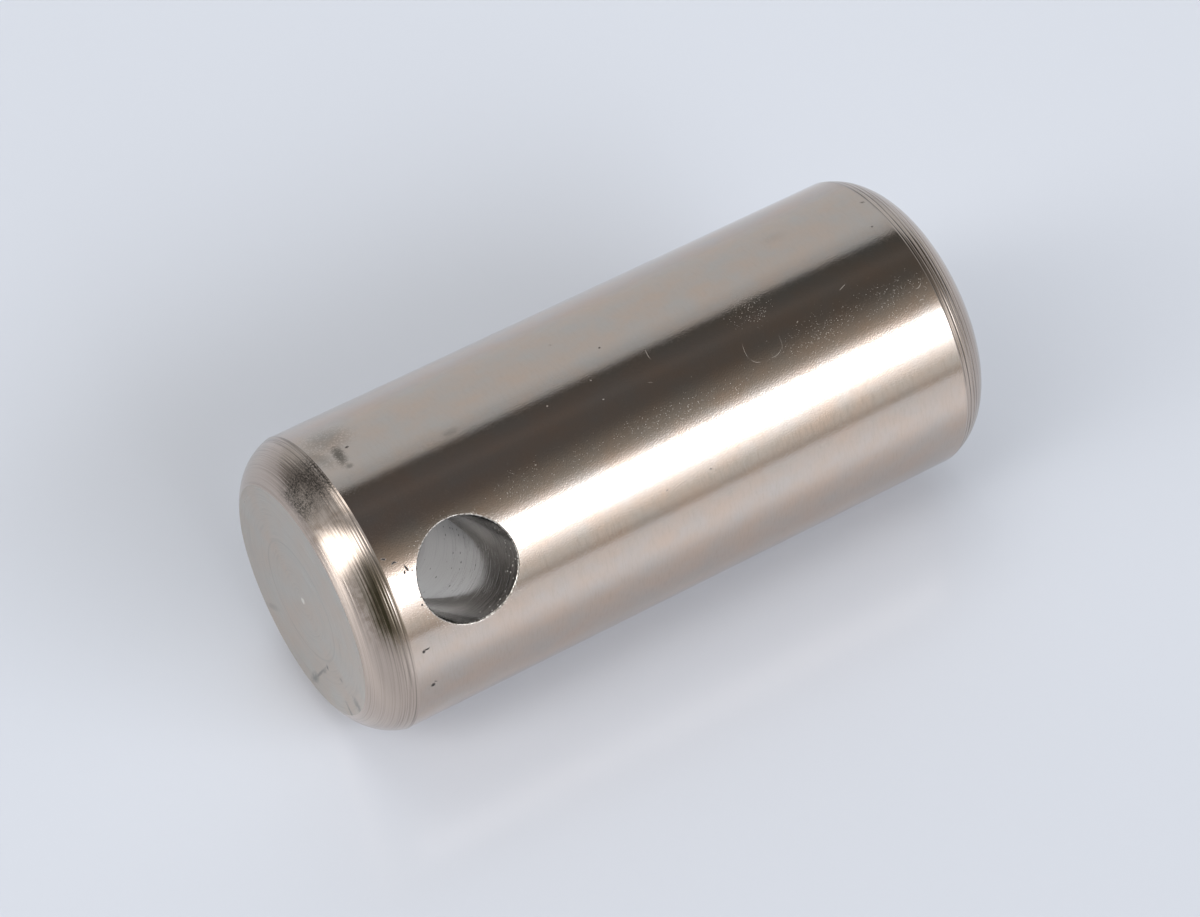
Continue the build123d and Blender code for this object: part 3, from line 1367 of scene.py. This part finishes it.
@dataclass(frozen=True)
class Studio:
    """Camera, floor and room, placed in the lying frame.

    Past the floor's end the camera sees the colour beyond, while the pin mirrors the room.
    """

    lying: Lying
    aim: Triple = (34.82 * MM, 0.23 * MM, 15.33 * MM)
    distance: float = 441.9 * MM
    heading_deg: float = 57.149
    elevation_deg: float = 50.839
    roll_deg: float = 0.902
    lens_mm: float = 131.08
    sensor_mm: float = 36.0
    clip: Pair = (0.01, 20.0)
    floor_half: float = 1.5
    floor_front: float = 0.255
    floor_colour: str = "#dee0e6"
    floor_roughness: float = 0.25
    room_colour: str = "#c4c8cc"
    beyond: str = "#e4e7ee"

    def camera(self) -> None:
        """Places the camera at the picture's viewing angle."""
        heading, elevation = math.radians(self.heading_deg), math.radians(self.elevation_deg)
        look = Vector((math.cos(heading) * math.cos(elevation), math.sin(heading) * math.cos(elevation),
                       -math.sin(elevation)))
        right = look.cross(Vector((0, 0, 1))).normalized()
        turn = Matrix((right, right.cross(look), -look)).transposed()
        place = (turn @ Matrix.Rotation(math.radians(self.roll_deg), 3, "Z")).to_4x4()
        place.translation = Vector(self.aim) - look * self.distance
        data = bpy.data.cameras.new("camera")
        data.lens = self.lens_mm
        data.sensor_width = self.sensor_mm
        data.clip_start, data.clip_end = self.clip
        camera = add_object("camera", data)
        camera.matrix_world = self.lying.matrix() @ place
        bpy.context.scene.camera = camera

    def floor(self) -> None:
        """Lays a plain pale board under the pin, which ends a little way in front of it.

        The pin mirrors that end as a thin dark line. From below, the board can be seen through.
        """
        half, front = self.floor_half, self.floor_front
        mesh = bpy.data.meshes.new("floor")
        corners = [(-half, -front, 0), (half, -front, 0), (half, half, 0), (-half, half, 0)]
        mesh.from_pydata([self.lying.matrix() @ Vector(c) for c in corners], [], [(0, 1, 2, 3)])
        material = bpy.data.materials.new("satin_board")
        material.use_nodes = True
        tree = material.node_tree
        shader = tree.nodes["Principled BSDF"]
        shader.inputs["Base Color"].default_value = linear(self.floor_colour)
        shader.inputs["Roughness"].default_value = self.floor_roughness
        behind = add_node(tree, "NewGeometry", out="Backfacing")
        mix = add_node(tree, "MixShader", behind, shader.outputs[0], add_node(tree, "BsdfTransparent"))
        tree.links.new(mix, tree.nodes["Material Output"].inputs["Surface"])
        mesh.materials.append(material)
        floor = add_object("floor", mesh)

    def direction(self, azimuth: float, elevation: float) -> Vector:
        """The way from the pin to a point of the room, in the lying frame.

        Args:
            azimuth: degrees from the camera's side towards its right.
            elevation: degrees above the floor.

        Returns:
            A unit vector.
        """
        turn, lift = math.radians(azimuth), math.radians(elevation)
        heading = math.radians(self.heading_deg)
        right = Vector((math.sin(heading), -math.cos(heading), 0))
        back = Vector((-math.cos(heading), -math.sin(heading), 0))
        level = back * math.cos(turn) + right * math.sin(turn)
        return level * math.cos(lift) + Vector((0, 0, math.sin(lift)))

    def room(self, patches: tuple[Patch, ...]) -> None:
        """Surrounds the pin with a plain room and its soft patches of light and shade.

        Args:
            patches: what stands out from the plain room, the later ones on top.
        """
        world = bpy.data.worlds.new("studio")
        bpy.context.scene.world = world
        world.use_nodes = True
        tree = world.node_tree
        tree.nodes.clear()
        node = partial(add_node, tree)
        ray = node("TexCoord", out="Generated")
        turn = self.lying.matrix().to_3x3()
        colour = linear(self.room_colour)
        for patch in patches:
            facing = self.direction(patch.azimuth, patch.elevation)
            right = Vector((0, 0, 1)).cross(facing).normalized()
            lean = Matrix.Rotation(-math.radians(patch.lean), 3, facing)
            ahead, beside, over = (node("VectorMath:DOT_PRODUCT", ray, turn @ axis, out="Value")
                                   for axis in (facing, lean @ -right, lean @ facing.cross(right)))
            gates = []
            for part, span, soft in zip((beside, over), (patch.across, patch.upright), patch.soft):
                angle = node("Math:DEGREES", node("Math:ARCTAN2", part, ahead))
                gates.append(window(tree, angle, span, soft))
            shade = (*(c * patch.strength for c in linear(patch.colour)[:3]), 1.0)
            colour = node("Mix", node("Math:MULTIPLY", *gates), data_type="RGBA", out="Result",
                          label=patch.name, blend_type=patch.light.value, inputs={"A": colour, "B": shade})
        lit, pale = (node("Background", c) for c in (colour, linear(self.beyond)))
        node("OutputWorld", node("MixShader", node("LightPath", out="Is Camera Ray"), lit, pale))


def main() -> None:
    """Builds the pin, then the studio round it."""
    logging.basicConfig(level=logging.INFO, format="%(name)s: %(message)s")
    pin = Pin()
    lying = Lying(pin.sizes)
    finishes = {Zone.GROUND: GroundSteel, Zone.TURNED: TurnedSteel, Zone.FACED: FacedSteel,
                Zone.DRILLED: DrilledSteel, Zone.BROKEN_EDGE: BrokenEdgeSteel}
    pin.build({zone: finish(lying).build() for zone, finish in finishes.items()})
    studio = Studio(lying)
    studio.camera()
    studio.floor()
    studio.room(ROOM)
    bpy.context.scene.view_settings.view_transform = "Standard"


if __name__ == "__main__":
    main()
